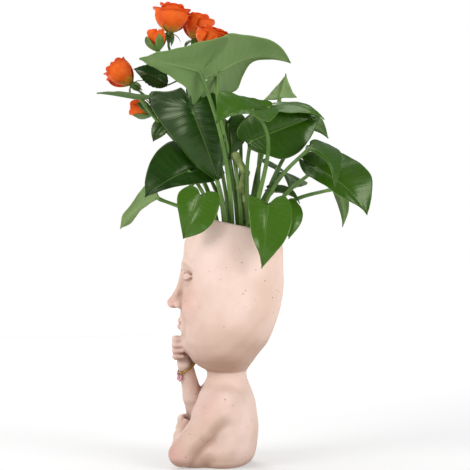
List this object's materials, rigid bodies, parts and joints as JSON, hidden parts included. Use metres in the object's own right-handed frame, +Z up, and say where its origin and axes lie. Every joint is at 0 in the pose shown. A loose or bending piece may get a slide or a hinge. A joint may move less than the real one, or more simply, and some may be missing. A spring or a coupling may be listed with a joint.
{
  "type": "head planter",
  "caption": "Small planter shaped like a resting figure whose open head holds a lift-out grow pot with trailing heart-leaf foliage and orange spray roses.",
  "frame": {"origin": "the point of the flat base under the middle of the neck", "axes": "+X to the figure's left, -Y the way the face looks, +Z up"},
  "size_m": [0.1795, 0.2441, 0.4158],
  "materials": {
    "casting": "matt speckled mineral-filled casting, pale beige pink",
    "bracelet_gold": "aged gold paint",
    "bracelet_pink": "matt pink paint",
    "pot_plastic": "thin black plastic",
    "soil": "crumbly potting soil",
    "pothos_leaf": "waxy glossy leaf",
    "pothos_stem": "smooth green stem",
    "rose_petal": "soft orange petal",
    "rose_green": "satin green stem and leaf"
  },
  "bodies": {
    "planter": {"planter_casting": "casting", "bracelet_band": "bracelet_gold", "bracelet_flower": "bracelet_pink"},
    "planting": {"grow_pot": "pot_plastic", "pothos_leaf_01": "pothos_leaf", "pothos_leaf_02": "pothos_leaf", "pothos_leaf_03": "pothos_leaf", "pothos_leaf_04": "pothos_leaf", "pothos_leaf_05": "pothos_leaf", "pothos_leaf_06": "pothos_leaf", "pothos_leaf_07": "pothos_leaf", "pothos_leaf_08": "pothos_leaf", "pothos_leaf_09": "pothos_leaf", "pothos_leaf_10": "pothos_leaf", "pothos_leaf_11": "pothos_leaf", "pothos_leaf_12": "pothos_leaf", "pothos_leaf_13": "pothos_leaf", "pothos_leaf_14": "pothos_leaf", "pothos_leaf_15": "pothos_leaf", "pothos_leaf_16": "pothos_leaf", "pothos_leaf_17": "pothos_leaf", "pothos_leaf_18": "pothos_leaf", "pothos_leaf_19": "pothos_leaf", "pothos_leaf_20": "pothos_leaf", "pothos_leaf_21": "pothos_leaf", "pothos_leaf_22": "pothos_leaf", "pothos_vine": "pothos_stem", "potting_soil": "soil", "rose_bloom_1": "rose_petal", "rose_bloom_2": "rose_petal", "rose_bloom_3": "rose_petal", "rose_bloom_4": "rose_petal", "rose_bloom_5": "rose_petal", "rose_bloom_6": "rose_petal", "rose_spray_1": "rose_green", "rose_spray_2": "rose_green"}
  },
  "joints": [
    {"name": "planting_lift", "type": "slide", "parent": "planter", "child": "planting", "axis": [0, 0, 1], "range_m": [0, 0.125]}
  ]
}
